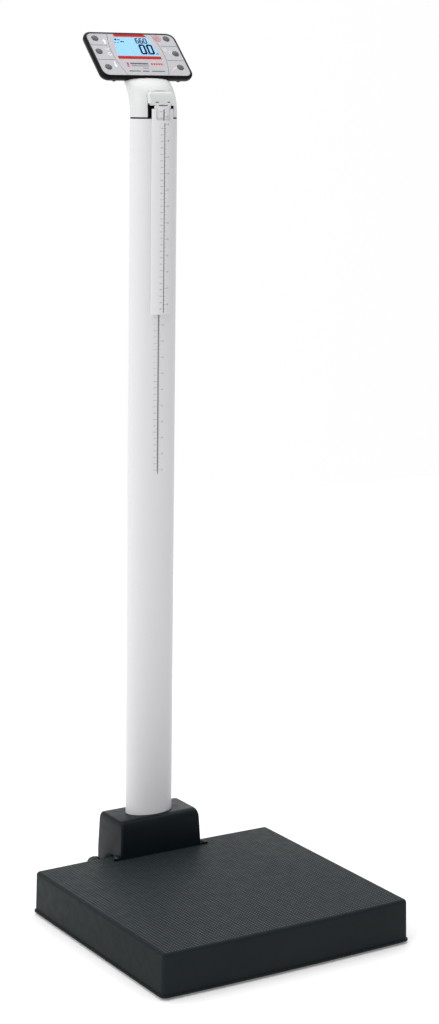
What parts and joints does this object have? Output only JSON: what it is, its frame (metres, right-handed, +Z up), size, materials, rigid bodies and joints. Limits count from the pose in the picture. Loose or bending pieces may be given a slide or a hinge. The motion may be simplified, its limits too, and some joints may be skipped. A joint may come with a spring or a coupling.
{
  "type": "physician column scale",
  "caption": "Floor scale with a low platform, an oval column with a sliding height rod, a tilted display with keys on top, and rear transport wheels.",
  "frame": {"origin": "on the floor, under the middle of the whole scale's footprint box", "axes": "+X to the user's right as they face the display, front towards -Y, column at the back towards +Y, +Z up"},
  "size_m": [0.432, 0.5067, 1.3613],
  "materials": {
    "black_cover": "satin, fine raised dot texture on the top",
    "black_plastic": "satin moulded",
    "grey_steel": "powder coat",
    "black_steel": "powder coat",
    "white_paint": "smooth gloss powder coat",
    "white_plastic": "smooth moulded",
    "cell_metal": "machined",
    "screw_steel": "zinc plated",
    "foot_rubber": "matt",
    "wheel_plastic": "moulded",
    "board_green": "circuit board",
    "cord_grey": "cable jacket",
    "cell_jacket": "battery jacket",
    "contact_brass": "plated spring metal",
    "overlay_film": "printed film",
    "display_blue": "lit display",
    "display_clear": "clear pane",
    "key_grey": "soft touch"
  },
  "bodies": {
    "base": {"platform_cover": "black_cover", "platform_frame": "grey_steel", "load_cell_front_left": "cell_metal", "load_cell_front_right": "cell_metal", "load_cell_rear_left": "cell_metal", "load_cell_rear_right": "cell_metal", "foot_front_left": "foot_rubber", "foot_front_right": "foot_rubber", "foot_rear_left": "foot_rubber", "foot_rear_right": "foot_rubber", "foot_studs": "screw_steel", "cell_screws": "screw_steel", "base_pan": "grey_steel", "pan_screws": "screw_steel", "summing_board": "board_green", "cell_leads": "cord_grey", "signal_cable": "cord_grey", "column_bracket": "black_steel", "bracket_bolts": "screw_steel", "base_cover": "black_plastic", "cover_screws": "screw_steel", "battery_holders": "black_plastic", "batteries": "cell_jacket", "battery_contacts": "contact_brass", "battery_door": "black_plastic", "column": "white_paint", "column_screws": "screw_steel", "neck": "white_plastic", "neck_gasket": "foot_rubber", "neck_screws": "screw_steel", "indicator_back": "black_plastic", "indicator_front": "black_plastic", "overlay": "overlay_film", "lcd_module": "display_blue", "lcd_window": "display_clear", "main_board": "board_green", "indicator_screws": "screw_steel", "housing_screws": "screw_steel", "wheel_bracket": "black_steel", "wheel_axles": "screw_steel"},
    "rod_outer": {"rod_outer": "white_paint", "rod_slider": "grey_steel", "slider_screws": "screw_steel"},
    "rod_middle": {"rod_middle": "white_paint"},
    "rod_inner": {"rod_inner": "white_paint", "headpiece_pin": "screw_steel"},
    "headpiece": {"headpiece": "white_plastic"},
    "wheel_left": {"wheel_left": "wheel_plastic"},
    "wheel_right": {"wheel_right": "wheel_plastic"},
    "key_left_top": {"key_left_top": "key_grey"},
    "key_left_middle": {"key_left_middle": "key_grey"},
    "key_left_bottom": {"key_left_bottom": "key_grey"},
    "key_right_top": {"key_right_top": "key_grey"},
    "key_right_middle": {"key_right_middle": "key_grey"},
    "key_right_bottom": {"key_right_bottom": "key_grey"}
  },
  "joints": [
    {"name": "rod_outer_slide", "type": "slide", "parent": "base", "child": "rod_outer", "axis": [0, 0, 1], "range_m": [0, 0.25]},
    {"name": "rod_middle_slide", "type": "slide", "parent": "rod_outer", "child": "rod_middle", "axis": [0, 0, 1], "range_m": [0, 0.25]},
    {"name": "rod_inner_slide", "type": "slide", "parent": "rod_middle", "child": "rod_inner", "axis": [0, 0, 1], "range_m": [0, 0.25]},
    {"name": "headpiece_hinge", "type": "hinge", "parent": "rod_inner", "child": "headpiece", "pos_m": [0, 0.13603, 1.2505], "axis": [1, 0, 0], "range_deg": [0, 90]},
    {"name": "key_left_top_press", "type": "slide", "parent": "base", "child": "key_left_top", "axis": [0, 0.7071, -0.7071], "range_m": [0, 0.0012], "stiffness_N_per_m": 1500},
    {"name": "key_left_middle_press", "type": "slide", "parent": "base", "child": "key_left_middle", "axis": [0, 0.7071, -0.7071], "range_m": [0, 0.0012], "stiffness_N_per_m": 1500},
    {"name": "key_left_bottom_press", "type": "slide", "parent": "base", "child": "key_left_bottom", "axis": [0, 0.7071, -0.7071], "range_m": [0, 0.0012], "stiffness_N_per_m": 1500},
    {"name": "key_right_top_press", "type": "slide", "parent": "base", "child": "key_right_top", "axis": [0, 0.7071, -0.7071], "range_m": [0, 0.0012], "stiffness_N_per_m": 1500},
    {"name": "key_right_middle_press", "type": "slide", "parent": "base", "child": "key_right_middle", "axis": [0, 0.7071, -0.7071], "range_m": [0, 0.0012], "stiffness_N_per_m": 1500},
    {"name": "key_right_bottom_press", "type": "slide", "parent": "base", "child": "key_right_bottom", "axis": [0, 0.7071, -0.7071], "range_m": [0, 0.0012], "stiffness_N_per_m": 1500},
    {"name": "wheel_left_spin", "type": "hinge", "parent": "base", "child": "wheel_left", "pos_m": [-0.088, 0.17783, 0.036], "axis": [1, 0, 0], "continuous": true},
    {"name": "wheel_right_spin", "type": "hinge", "parent": "base", "child": "wheel_right", "pos_m": [0.088, 0.17783, 0.036], "axis": [1, 0, 0], "continuous": true}
  ]
}
